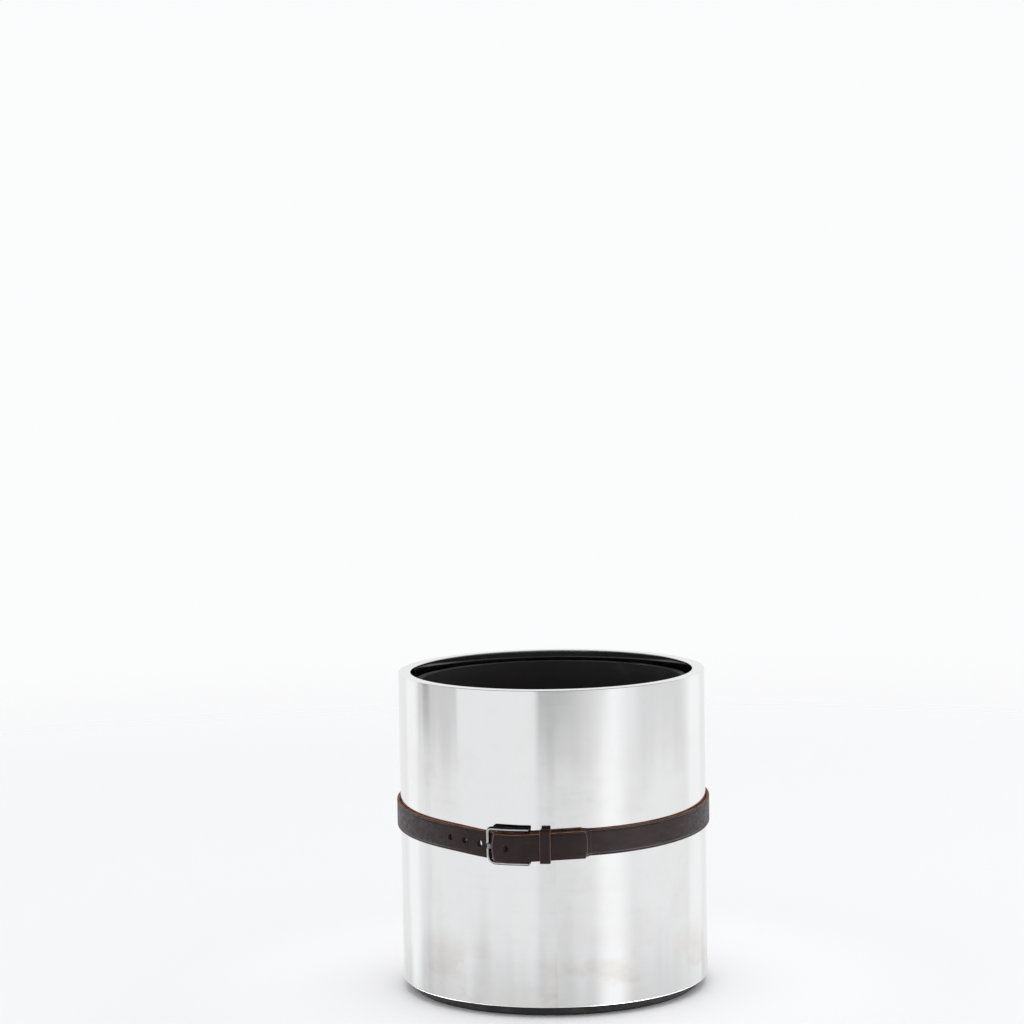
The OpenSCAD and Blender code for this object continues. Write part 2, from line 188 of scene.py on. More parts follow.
class Nodes:
    """A short way to write a node tree: each call adds a node, and sockets are joined by name."""

    def __init__(self, tree):
        self.tree = tree

    def add(self, kind, inputs=None, **settings):
        node = self.tree.nodes.new(kind)
        for key, value in settings.items():
            setattr(node, key, value)
        for key, value in (inputs or {}).items():
            socket = node.inputs[key]
            if isinstance(value, bpy.types.NodeSocket):
                self.tree.links.new(value, socket)
            else:
                socket.default_value = value
        return node

    def math(self, operation, a, b=0.0, clamp=False):
        return self.add("ShaderNodeMath", {0: a, 1: b}, operation=operation, use_clamp=clamp).outputs[0]

    def ramp(self, value, low, high, to_low=0.0, to_high=1.0, smooth=True):
        kind = "SMOOTHSTEP" if smooth else "LINEAR"
        inputs = {"Value": value, "From Min": low, "From Max": high, "To Min": to_low, "To Max": to_high}
        return self.add("ShaderNodeMapRange", inputs, interpolation_type=kind).outputs[0]

    def noise(self, vector, scale, detail=3.0, roughness=0.5):
        inputs = {"Vector": vector, "Scale": scale, "Detail": detail, "Roughness": roughness}
        return self.add("ShaderNodeTexNoise", inputs).outputs["Fac"]

    def mix(self, factor, a, b, blend="MIX"):
        node = self.add("ShaderNodeMix", data_type="RGBA", blend_type=blend)
        for key, value in ((0, factor), (6, a), (7, b)):
            if isinstance(value, bpy.types.NodeSocket):
                self.tree.links.new(value, node.inputs[key])
            else:
                node.inputs[key].default_value = value
        return node.outputs[2]

    def stretched(self, vector, x, y, z):
        return self.add("ShaderNodeVectorMath", {0: vector, 1: (x, y, z)}, operation="MULTIPLY").outputs[0]

    def bump(self, height, strength, distance, normal=None):
        inputs = {"Height": height, "Strength": strength, "Distance": distance}
        if normal is not None:
            inputs["Normal"] = normal
        return self.add("ShaderNodeBump", inputs).outputs["Normal"]


def new_material(name, **constants):
    """A material with one shader. Constants that hold all over the surface go straight onto its sockets."""
    material = bpy.data.materials.new(name)
    material.use_nodes = True
    tree = material.node_tree
    shader = tree.nodes["Principled BSDF"]
    for key, value in constants.items():
        shader.inputs[key.replace("_", " ")].default_value = value
    nodes = Nodes(tree)
    place = nodes.add("ShaderNodeTexCoord").outputs["Object"]
    return material, nodes, shader, place


def join(nodes, shader, **sockets):
    for key, value in sockets.items():
        nodes.tree.links.new(value, shader.inputs[key.replace("_", " ")])


def rgb(r, g, b):
    return (r, g, b, 1.0)


def polar_place(nodes, place, height_scale=1.0):
    """Unrolls the cylinder into arc length, radius and height, so that streaks follow the rolled sheet."""
    parts = nodes.add("ShaderNodeSeparateXYZ", {"Vector": place}).outputs
    angle = nodes.math("ARCTAN2", parts["X"], parts["Y"])
    along = nodes.math("MULTIPLY", angle, BODY_R)
    height = nodes.math("MULTIPLY", parts["Z"], height_scale)
    return nodes.add("ShaderNodeCombineXYZ", {"X": along, "Y": 0.0, "Z": height}).outputs[0]


def looks_out(nodes, place):
    """1 where the surface looks out from the axis and a little up, 0 where it looks sideways, in or down."""
    level_place = nodes.stretched(place, 1.0, 1.0, 0.0)
    flat = nodes.add("ShaderNodeVectorMath", {0: level_place}, operation="NORMALIZE")
    raised = nodes.add("ShaderNodeVectorMath", {0: flat.outputs[0], 1: (0.0, 0.0, 0.3)}, operation="ADD")
    out = nodes.add("ShaderNodeVectorMath", {0: raised.outputs[0]}, operation="NORMALIZE")
    normal = nodes.add("ShaderNodeTexCoord").outputs["Normal"]
    inputs = {0: out.outputs[0], 1: normal}
    return nodes.add("ShaderNodeVectorMath", inputs, operation="DOT_PRODUCT").outputs["Value"]


def looks_along(nodes, place):
    """1 or -1 where the surface looks along the strap, 0 where it looks straight out, up or down."""
    across = nodes.add("ShaderNodeVectorMath", {0: (0.0, 0.0, 1.0), 1: place}, operation="CROSS_PRODUCT")
    along = nodes.add("ShaderNodeVectorMath", {0: across.outputs[0]}, operation="NORMALIZE")
    normal = nodes.add("ShaderNodeTexCoord").outputs["Normal"]
    inputs = {0: along.outputs[0], 1: normal}
    return nodes.add("ShaderNodeVectorMath", inputs, operation="DOT_PRODUCT").outputs["Value"]


# ---------------------------------------------------------------- materials


def polished_metal(name="polished_metal"):
    """Mirror-polished sheet: faint smudges, wipe marks and a slight lengthwise grain; darker and warmer
    towards the foot, partly from smudges and partly painted shade.
    """
    material, nodes, shader, place = new_material(name, Metallic=1.0)
    rolled = polar_place(nodes, place)
    smudge = nodes.noise(rolled, 9.0, 4.0, 0.6)
    fine_smudge = nodes.noise(nodes.stretched(rolled, 1.0, 1.0, 1.6), 42.0, 5.0, 0.65)
    streak = nodes.noise(nodes.stretched(rolled, 1.0, 1.0, 0.03), 38.0, 3.0, 0.55)
    wipe = nodes.noise(nodes.stretched(rolled, 0.08, 1.0, 1.0), 120.0, 2.0, 0.5)
    height = nodes.add("ShaderNodeSeparateXYZ", {"Vector": place}).outputs["Z"]
    # Darker and warmer towards the foot: partly smudges, partly painted shade standing in for the shadowed
    # floor that the wall reflects there.
    low_smudge_and_shade = nodes.ramp(height, 0.02, 0.14, 1.0, 0.5)
    smudge_and_shade = nodes.math("MULTIPLY", nodes.ramp(smudge, 0.45, 0.75), low_smudge_and_shade)
    clean = nodes.mix(nodes.ramp(streak, 0.35, 0.7), rgb(0.889, 0.89, 0.895), rgb(0.881, 0.884, 0.89))
    warm = nodes.mix(nodes.math("MULTIPLY", smudge_and_shade, 0.75), clean, rgb(0.80, 0.775, 0.75))
    spotted = nodes.math("MULTIPLY", nodes.ramp(fine_smudge, 0.55, 0.8), 0.25)
    spots = nodes.mix(spotted, warm, rgb(0.8, 0.8, 0.81))
    splash = nodes.noise(nodes.stretched(rolled, 1.0, 1.0, 1.7), 13.0, 4.0, 0.55)
    splash_and_shade = nodes.math("MULTIPLY", nodes.ramp(splash, 0.48, 0.66), nodes.ramp(height, 0.015, 0.11, 0.9, 0.0))
    spots = nodes.mix(splash_and_shade, spots, rgb(0.77, 0.735, 0.70))
    dulled = nodes.ramp(smudge, 0.3, 0.8, 0.05, 0.11)
    rough = nodes.math("ADD", dulled, nodes.ramp(fine_smudge, 0.5, 0.8, 0.0, 0.05))
    rough = nodes.math("ADD", rough, nodes.ramp(wipe, 0.5, 0.8, 0.0, 0.03))
    bump = nodes.bump(streak, 0.0015, 0.0004)
    bump = nodes.bump(wipe, 0.008, 0.0004, bump)
    join(nodes, shader, Base_Color=spots, Roughness=rough, Normal=bump)
    return material


def mill_metal():
    material, nodes, shader, place = new_material("mill_metal", Metallic=1.0)
    brushed = nodes.noise(nodes.stretched(place, 1.0, 0.03, 1.0), 300.0, 3.0)
    blotch = nodes.noise(place, 14.0, 4.0)
    colour = nodes.mix(nodes.ramp(blotch, 0.3, 0.7), rgb(0.62, 0.63, 0.65), rgb(0.5, 0.5, 0.51))
    dulled = nodes.ramp(brushed, 0.3, 0.7, 0.25, 0.4)
    rough = nodes.math("ADD", dulled, nodes.ramp(blotch, 0.3, 0.7, 0.0, 0.12))
    join(nodes, shader, Base_Color=colour, Roughness=rough, Normal=nodes.bump(brushed, 0.1, 0.0003))
    return material


def zinc_steel():
    material, nodes, shader, place = new_material("zinc_steel", Metallic=1.0)
    blotch = nodes.noise(place, 120.0, 4.0)
    colour = nodes.mix(nodes.ramp(blotch, 0.3, 0.7), rgb(0.58, 0.58, 0.6), rgb(0.45, 0.45, 0.43))
    join(nodes, shader, Base_Color=colour, Roughness=nodes.ramp(blotch, 0.3, 0.7, 0.28, 0.45),
         Normal=nodes.bump(nodes.noise(place, 900.0), 0.08, 0.0002))
    return material


def gunmetal(name, light, dark, gloss, hidden_r):
    """Dark nickel plate, its own colour only where it faces out; painted black shade on its sides, back and
    below hidden_r.
    """
    material, nodes, shader, place = new_material(name, Metallic=1.0)
    blotch = nodes.noise(place, 90.0, 4.0)
    scratch = nodes.noise(nodes.stretched(place, 1.0, 1.0, 0.12), 1500.0, 2.0)
    crest = nodes.add("ShaderNodeNewGeometry").outputs["Pointiness"]
    worn = nodes.ramp(crest, 0.5, 0.58)
    colour = nodes.mix(nodes.ramp(blotch, 0.3, 0.75), light, dark)
    colour = nodes.mix(nodes.math("MULTIPLY", worn, 0.5), colour, rgb(0.72, 0.72, 0.73))
    # Painted shade: black below hidden_r, where parts sit under the strap, and black where the surface looks
    # sideways, in or down.
    radius = nodes.add("ShaderNodeVectorMath", {0: nodes.stretched(place, 1.0, 1.0, 0.0)}, operation="LENGTH")
    shown = nodes.ramp(radius.outputs["Value"], hidden_r, hidden_r + 0.7 * MM)
    paler_share = nodes.math("MULTIPLY", nodes.ramp(looks_out(nodes, place), 0.62, 0.96), shown)
    colour = nodes.mix(paler_share, rgb(0.045, 0.043, 0.042), colour)
    rough = nodes.math("ADD", nodes.ramp(blotch, 0.3, 0.7, gloss, gloss + 0.06),
                       nodes.ramp(paler_share, 0.0, 1.0, 0.16, 0.0))
    join(nodes, shader, Base_Color=colour, Roughness=rough, Normal=nodes.bump(scratch, 0.008, 0.0001))
    return material


def leather_face():
    """Full-grain leather: pebbled grain, fine creases, uneven dye, paler where it is rubbed, and a painted
    sheen where it bends over the frame's bar.
    """
    material, nodes, shader, place = new_material(
        "leather_face", Specular_IOR_Level=0.16, Coat_Weight=0.2, Coat_Roughness=0.32)
    shader.inputs["Coat Tint"].default_value = rgb(0.95, 0.88, 1.0)
    shader.inputs["Specular Tint"].default_value = rgb(0.95, 0.88, 1.0)
    warp = nodes.add("ShaderNodeTexNoise", {"Vector": place, "Scale": 260.0, "Detail": 2.0}).outputs["Color"]
    amount = (0.0016, 0.0016, 0.0016)
    bent = nodes.add("ShaderNodeVectorMath", {0: warp, 1: amount}, operation="MULTIPLY").outputs[0]
    bent = nodes.add("ShaderNodeVectorMath", {0: place, 1: bent}, operation="ADD").outputs[0]
    cells = nodes.add("ShaderNodeTexVoronoi", {"Vector": bent, "Scale": 1100.0}, feature="DISTANCE_TO_EDGE")
    pebble = nodes.ramp(cells.outputs["Distance"], 0.0, 0.22)
    grain = {"Vector": bent, "Scale": 330.0}
    big_cells = nodes.add("ShaderNodeTexVoronoi", grain, feature="DISTANCE_TO_EDGE")
    crease = nodes.ramp(big_cells.outputs["Distance"], 0.0, 0.07)
    dye = nodes.noise(place, 38.0, 4.0, 0.6)
    pores = nodes.noise(place, 1900.0, 2.0)
    rub = nodes.noise(nodes.stretched(place, 1.0, 1.0, 3.0), 75.0, 5.0, 0.7)
    colour = nodes.mix(nodes.ramp(dye, 0.3, 0.7), rgb(0.0170, 0.0090, 0.0078), rgb(0.0265, 0.0145, 0.0125))
    paler_share = nodes.math("MULTIPLY", nodes.ramp(rub, 0.58, 0.8), 0.45)
    colour = nodes.mix(paler_share, colour, rgb(0.075, 0.045, 0.037))
    # Painted highlight: a pale purple-grey sheen where the strap bends up over the frame's bar.
    turned = nodes.math("ABSOLUTE", looks_along(nodes, place))
    bend_sheen = nodes.math("MULTIPLY", nodes.ramp(turned, 0.1, 0.4), nodes.ramp(turned, 0.97, 0.85))
    along_x = nodes.add("ShaderNodeSeparateXYZ", {"Vector": place}).outputs["X"]
    over_bar = nodes.ramp(along_x, -0.33 * BODY_R, -0.355 * BODY_R)
    colour = nodes.mix(nodes.math("MULTIPLY", bend_sheen, over_bar), colour, rgb(0.15, 0.115, 0.13))
    valley = nodes.math("MULTIPLY", pebble, crease)
    colour = nodes.mix(nodes.ramp(valley, 0.0, 1.0, 0.55, 0.0), colour, rgb(0.018, 0.010, 0.009))
    sheen = nodes.noise(nodes.stretched(place, 1.0, 1.0, 1.6), 130.0, 5.0, 0.7)
    rough = nodes.math("ADD", nodes.ramp(sheen, 0.35, 0.65, 0.34, 0.56), nodes.ramp(rub, 0.5, 0.8, 0.0, 0.1))
    bump = nodes.bump(nodes.noise(place, 70.0, 3.0), 0.25, 0.0012)
    bump = nodes.bump(pores, 0.12, 0.0001, bump)
    bump = nodes.bump(pebble, 0.35, 0.00012, bump)
    bump = nodes.bump(crease, 0.3, 0.00018, bump)
    join(nodes, shader, Base_Color=colour, Roughness=rough, Normal=bump)
    return material


def leather_edge(name, low, high, dirt):
    """Raw cut edge: fibres in layers, darker where it was handled."""
    material, nodes, shader, place = new_material(name)
    fibre = nodes.noise(nodes.stretched(place, 1.0, 1.0, 0.35), 900.0, 4.0, 0.7)
    patch = nodes.noise(place, 90.0, 3.0)
    colour = nodes.mix(nodes.ramp(fibre, 0.3, 0.7), low, high)
    colour = nodes.mix(nodes.math("MULTIPLY", nodes.ramp(patch, 0.4, 0.7), 0.75), colour, dirt)
    rough = nodes.ramp(fibre, 0.3, 0.7, 0.6, 0.85)
    join(nodes, shader, Base_Color=colour, Roughness=rough, Normal=nodes.bump(fibre, 0.5, 0.00025))
    return material


def leather_back():
    """Flesh side: suede, a little lighter and fully matt."""
    material, nodes, shader, place = new_material("leather_back", Sheen_Weight=0.25, Sheen_Roughness=0.6)
    nap = nodes.noise(place, 1400.0, 5.0, 0.75)
    patch = nodes.noise(place, 60.0, 4.0)
    colour = nodes.mix(nodes.ramp(nap, 0.3, 0.7), rgb(0.13, 0.07, 0.045), rgb(0.22, 0.125, 0.085))
    patched = nodes.math("MULTIPLY", nodes.ramp(patch, 0.4, 0.7), 0.4)
    colour = nodes.mix(patched, colour, rgb(0.10, 0.05, 0.035))
    rough = nodes.ramp(nap, 0.3, 0.7, 0.8, 0.95)
    join(nodes, shader, Base_Color=colour, Roughness=rough, Normal=nodes.bump(nap, 0.5, 0.0003))
    return material


def black_plastic():
    material, nodes, shader, place = new_material("black_plastic")
    grain = nodes.noise(place, 1300.0, 3.0)
    dust = nodes.noise(place, 22.0, 5.0, 0.65)
    colour = nodes.mix(nodes.ramp(dust, 0.5, 0.8), rgb(0.014, 0.012, 0.014), rgb(0.035, 0.03, 0.03))
    rough = nodes.ramp(dust, 0.3, 0.8, 0.38, 0.62)
    join(nodes, shader, Base_Color=colour, Roughness=rough, Normal=nodes.bump(grain, 0.15, 0.0002))
    return material


def black_paint():
    """Matt black paint brushed on plywood, with the grain just showing."""
    material, nodes, shader, place = new_material("black_paint")
    grain = nodes.noise(nodes.stretched(place, 1.0, 1.0, 9.0), 120.0, 4.0)
    worn = nodes.noise(place, 45.0, 4.0)
    colour = nodes.mix(nodes.ramp(worn, 0.4, 0.8), rgb(0.012, 0.012, 0.012), rgb(0.035, 0.033, 0.031))
    rough = nodes.ramp(grain, 0.3, 0.7, 0.6, 0.8)
    join(nodes, shader, Base_Color=colour, Roughness=rough, Normal=nodes.bump(grain, 0.25, 0.0004))
    return material


def black_rubber():
    material, nodes, shader, place = new_material("black_rubber")
    fine = nodes.noise(place, 800.0, 4.0)
    dusty = nodes.noise(place, 50.0, 4.0)
    colour = nodes.mix(nodes.ramp(dusty, 0.4, 0.8), rgb(0.01, 0.01, 0.01), rgb(0.04, 0.038, 0.036))
    rough = nodes.ramp(fine, 0.3, 0.7, 0.7, 0.9)
    join(nodes, shader, Base_Color=colour, Roughness=rough, Normal=nodes.bump(fine, 0.25, 0.0003))
    return material


# ---------------------------------------------------------------- planter body


def sheet_wobble(a, r, z):
    """The rolled sheet is not perfectly round: long, shallow waves that bend its reflections."""
    wave = 0.10 * sin(3 * a + 0.8) + 0.05 * sin(7 * a + 9 * z + 2.1) + 0.02 * sin(17 * a - 14 * z)
    return wave * MM


def make_shell(metal):
    outer, inner = BODY_R, BODY_R - SHEET_T
    edge = 0.5 * MM
    rows = 24
    up = [SHELL_Z0 + edge + (SHELL_Z1 - SHELL_Z0 - edge) * i / rows for i in range(rows + 1)]
    # A short row next to the rounded foot keeps the tall rows above it flat in the reflections
    up.insert(1, up[0] + 0.4 * MM)
    outline = arc(outer - edge, SHELL_Z0 + edge, edge, -90, 0, 4)[:-1]
    outline += [(outer, z) for z in up]
    outline += [(inner, z) for z in reversed(up)]
    outline += arc(inner + edge, SHELL_Z0 + edge, edge, 180, 270, 4)[1:]
    shell = lathe("polished_shell", outline, 384, sheet_wobble)
    shell.data.materials.append(metal)
    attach(sharpen(shell, 50), "planter")
    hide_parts("outer_shell")


def make_rim(metal):
    """The flat ring, its outer edge dressed round after welding, and its inner edge rounded."""
    outer, inner = BODY_R, BODY_R - RIM_W
    outer_round, inner_round = 0.45 * MM, 0.6 * MM
    outline = [(inner, RIM_Z0), (outer, RIM_Z0)]
    outline += arc(outer - outer_round, RIM_Z1 - outer_round, outer_round, 0, 90, 8)
    outline += arc(inner + inner_round, RIM_Z1 - inner_round, inner_round, 90, 180, 6)
    rim = lathe("rim_plate", outline, 384, lambda a, r, z: 0.0)
    rim.data.materials.append(metal)
    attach(sharpen(rim, 50), "planter")
    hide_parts("rim_ring")


# ---------------------------------------------------------------- belt strap


def mix(p, q, u):
    return p + (q - p) * u


def s_blend(u):
    """An S-shaped blend from 0 to 1 made of two parabolas."""
    return 2 * u * u if u < 0.5 else 1 - 2 * (1 - u) ** 2


def smooth(u):
    u = min(1.0, max(0.0, u))
    return u * u * (3 - 2 * u)


def level(a, r, z=0.0):
    """A point in the belt's level plane at an angle in degrees, a radius and a height."""
    return Vector((r * sin(radians(a)), -r * cos(radians(a)), z))


# Where the strap changes, in degrees round the planter
FLAP_END_A = 9.4
FLAP_THICK_A = 2.6
FLAP_THIN_A = 2.1
SKIVE_A = (-8.4, -7.0)
EASE_A = (9.9, 12.6)
RAMP_A = (336.9, 339.1)
TIP_END_A = STRAP_ANGLES[1] if STRAP_ANGLES[1] < 90 else 10.8
RAMP_T = 2.7 * MM
TIP_SAG = 2.3 * MM
# The tip's layer has spread a little from years under the buckle
TIP_SPREAD = 1.03
# How far the strap sags on its level plane near the buckle
SAG_DEPTH = 4.4 * MM
SAG_A = 341.0
SAG_LEFT, SAG_RIGHT = 10.0, 11.0
FOLD_SAG = 1.8 * MM
STEP_A = 1.0
SHOULDER_DROP = 1.2 * MM
SHOULDER_SPAN = 4.5


def outer_sag(a):
    """Sag of the strap and its tip, by the unrolled angle."""
    width = SAG_LEFT if a < SAG_A else SAG_RIGHT
    return -SAG_DEPTH * exp(-0.5 * ((a - SAG_A) / width) ** 2)


def inner_sag(a):
    """Sag of the folded end under the tip."""
    return -FOLD_SAG * (1 - smooth((a - PIN_A) / (EASE_A[1] - PIN_A)))


def shoulder(a):
    """How far the tip's layer still lies below its full height, just after it has passed the frame's bar."""
    return SHOULDER_DROP * (1 - smooth((a - RAMP_A[1]) / SHOULDER_SPAN))


def strap_stations():
    """The strap's centre line as (point, thickness, lift), from the end of the flap to the tip."""
    stations = []

    def run(a0, a1, r0, r1, t0, t1, sag, step=STEP_A, blend=lambda u: u):
        n = max(1, ceil(abs(a1 - a0) / step))
        for i in range(n):
            u = blend(i / n)
            a = mix(a0, a1, i / n)
            stations.append((level(a, mix(r0, r1, u)), mix(t0, t1, u), sag(a)))

    run(FLAP_END_A, FLAP_THICK_A, WRAP_R, WRAP_R, BELT_T, BELT_T, inner_sag)
    run(FLAP_THICK_A, FLAP_THIN_A, WRAP_R, FLAP_R, BELT_T, FLAP_T, inner_sag, 0.1, s_blend)
    run(FLAP_THIN_A, PIN_A, FLAP_R, FLAP_R, FLAP_T, FLAP_T, inner_sag)
    centre, out = level(PIN_A, PIN_CENTRE_R), level(PIN_A, 1)
    along = Vector((cos(radians(PIN_A)), sin(radians(PIN_A)), 0))
    for i in range(18):
        f = radians(-90 + 10 * i)
        stations.append((centre + FOLD_R * (sin(f) * out - cos(f) * along), FLAP_T, inner_sag(PIN_A)))
    skived_r = STRAP_R + BELT_T / 2 - FLAP_T / 2
    run(PIN_A, SKIVE_A[0], skived_r, skived_r, FLAP_T, FLAP_T, inner_sag, 0.5)
    run(SKIVE_A[0], SKIVE_A[1], skived_r, STRAP_R, FLAP_T, BELT_T, inner_sag, 0.2, s_blend)
    run(SKIVE_A[1], EASE_A[0], STRAP_R, STRAP_R, BELT_T, BELT_T, inner_sag)
    run(EASE_A[0], EASE_A[1], STRAP_R, WRAP_R, BELT_T, BELT_T, inner_sag, 0.3, s_blend)
    before, after = RAMP_A[0] - 1.2, RAMP_A[1] + 1.2
    run(EASE_A[1], before, WRAP_R, WRAP_R, BELT_T, BELT_T, outer_sag)
    thin = RAMP_T - BELT_T
    run(before, RAMP_A[0], WRAP_R, WRAP_R + thin / 2, BELT_T, RAMP_T, outer_sag, 0.12, smooth)
    climb_r = TIP_R - thin / 2 - SHOULDER_DROP
    run(RAMP_A[0], RAMP_A[1], WRAP_R + thin / 2, climb_r, RAMP_T, RAMP_T, outer_sag, 0.08, s_blend)
    first_tip = len(stations)
    run(RAMP_A[1], after, TIP_R - thin / 2, TIP_R, RAMP_T, BELT_T, outer_sag, 0.12, smooth)
    run(after, 360 + TIP_END_A, TIP_R, TIP_R, BELT_T, BELT_T, outer_sag, 0.5)
    for i in range(first_tip, len(stations)):
        p, t, sag = stations[i]
        a = degrees(atan2(p.x, -p.y)) % 360
        below = shoulder(a) if a > 180 else 0.0
        stations[i] = (p * (1 - below / p.length), t, sag)
    stations.append((level(TIP_END_A, TIP_R), BELT_T, outer_sag(360 + TIP_END_A)))
    return stations


def strap_outline(w, t):
    """Half of a cross-section, mirrored: (across, out) points with a creased face and softened edges.
    Each point has the index of its material: 0 face, 1 edge, 2 back."""
    half_w, half_t = w / 2, t / 2
    soft, soft_back = 0.75 * MM, 0.5 * MM
    crease, crease_half, crease_deep = 1.9 * MM, 0.45 * MM, 0.28 * MM
    flat = half_w - crease
    face = [(0.0, half_t), (flat * 0.45, half_t), (flat * 0.85, half_t), (flat - crease_half, half_t),
            (flat, half_t - crease_deep), (flat + crease_half, half_t)]
    corner = [(half_w - soft + soft * sin(f), half_t - soft * 0.8 * (1 - cos(f)))
              for f in map(radians, (0, 25, 50, 75))]
    side = [(half_w, half_t * 0.25), (half_w, -half_t * 0.35)]
    heel = [(half_w - soft_back * (1 - cos(f)), -half_t + soft_back * (1 - sin(f)))
            for f in map(radians, (0, 45, 90))]
    back = [(flat * 0.5, -half_t)]
    points = [(p, 0) for p in face + corner[:3]] + [(p, 1) for p in corner[3:] + side + heel]
    points += [(p, 2) for p in back] + [((0.0, -half_t), 2)]
    left = [((-p[0], p[1]), m) for p, m in reversed(points[1:-1])]
    return points + left


def ring_materials(ring):
    """The material of each side of the ring: the higher of its ends, and edge over back at the corner."""
    n = len(ring)
    result = []
    for j in range(n):
        a, b = ring[j][1], ring[(j + 1) % n][1]
        all_edge = 1 in (a, b) and (a, b) != (0, 1) and (a, b) != (1, 0) and 2 not in (a, b)
        result.append(1 if all_edge else max(a, b))
    return result


# The angle where the prong pushes the strap, and how far, in degrees
PUSH_A = -21.2
PUSH = 0.95


def pushed_by_prong(p, across, half_w):
    """The prong holds the middle of the climbing strap further out towards the frame's bar."""
    a = degrees(atan2(p.x, -p.y))
    r = hypot(p.x, p.y)
    near = exp(-0.5 * ((a - PUSH_A) / 1.6) ** 2)
    lift = smooth((r - WRAP_R) / (TIP_R - WRAP_R))
    middle = 1 - hypot(across / half_w, 0.25)
    return level(a - PUSH * near * lift * middle, r, p.z)


def sweep_strap(name, stations, width):
    outline = strap_outline(width, BELT_T)
    sides = ring_materials(outline)
    rings = []
    count = len(stations)
    for i, (p, t, sag) in enumerate(stations):
        before, after = stations[max(i - 1, 0)][0], stations[min(i + 1, count - 1)][0]
        d = (after - before).normalized()
        out = Vector((d.y, -d.x, 0))
        climbed = smooth((p.length - WRAP_R) / (TIP_R - WRAP_R))
        spread = mix(1.0, TIP_SPREAD, climbed) if i > count / 2 else 1.0
        ring = []
        for (across, depth), _ in outline:
            scaled = depth * t / BELT_T
            point = pushed_by_prong(p + out * scaled, across, width / 2)
            point.z = across * spread + sag
            ring.append(point)
        rings.append(ring)
    piece = sweep(name, rings)
    n = len(outline)
    for i, polygon in enumerate(piece.data.polygons):
        polygon.material_index = sides[i % n] if i < (count - 1) * n else 1
        p = stations[min(i // n, count - 1)][0]
        hidden = p.y < 0 and abs(degrees(atan2(p.x, -p.y))) < EASE_A[1] and p.length < TIP_R - LAYER_STEP / 2
        if hidden and polygon.material_index == 1:
            polygon.material_index = 3
    return piece


def oval_cutter(name, a, r, z, width, height, depth, lean=0.0):
    """An upright oval bar that points outwards at an angle round the planter."""
    half = (height - width) / 2
    outline = [(x, half + y) for x, y in arc(0, 0, width / 2, 0, 180, 12)]
    outline += [(x, y - half) for x, y in arc(0, 0, width / 2, 180, 360, 12)]
    turn = Matrix.Rotation(radians(a), 4, "Z")
    tip = Matrix.Rotation(radians(lean), 4, "Z")
    rings = []
    for y in (-depth / 2, depth / 2):
        rings.append([turn @ (Vector((0, -r, z)) + tip @ Vector((x, y, h))) for x, h in outline])
    cutter = outward(sweep(name, rings))
    return cutter


def cut(piece, cutters):
    """Takes the cutters out of the piece; their walls keep the cutters' own material."""
    for cutter in cutters:
        modifier = piece.modifiers.new("cut", "BOOLEAN")
        modifier.operation = "DIFFERENCE"
        modifier.solver = "EXACT"
        modifier.object = cutter
        if hasattr(modifier, "material_mode"):
            modifier.material_mode = "TRANSFER"
    apply_modifiers(piece)
    for cutter in cutters:
        bpy.data.objects.remove(cutter)
    return piece


HOLE_W, HOLE_H = 4.6 * MM, 7.6 * MM
WIDE_HOLE_W = 6.0 * MM
HOLE_PITCH = 20 * MM
PRONG_Z = sum(PRONG_HEIGHTS) / 2 - 2.1 * MM
TIP_BEVEL = 1.2 * MM
TIP_HOLE_A = -17.0
WRAP_HOLE_A = -27.8


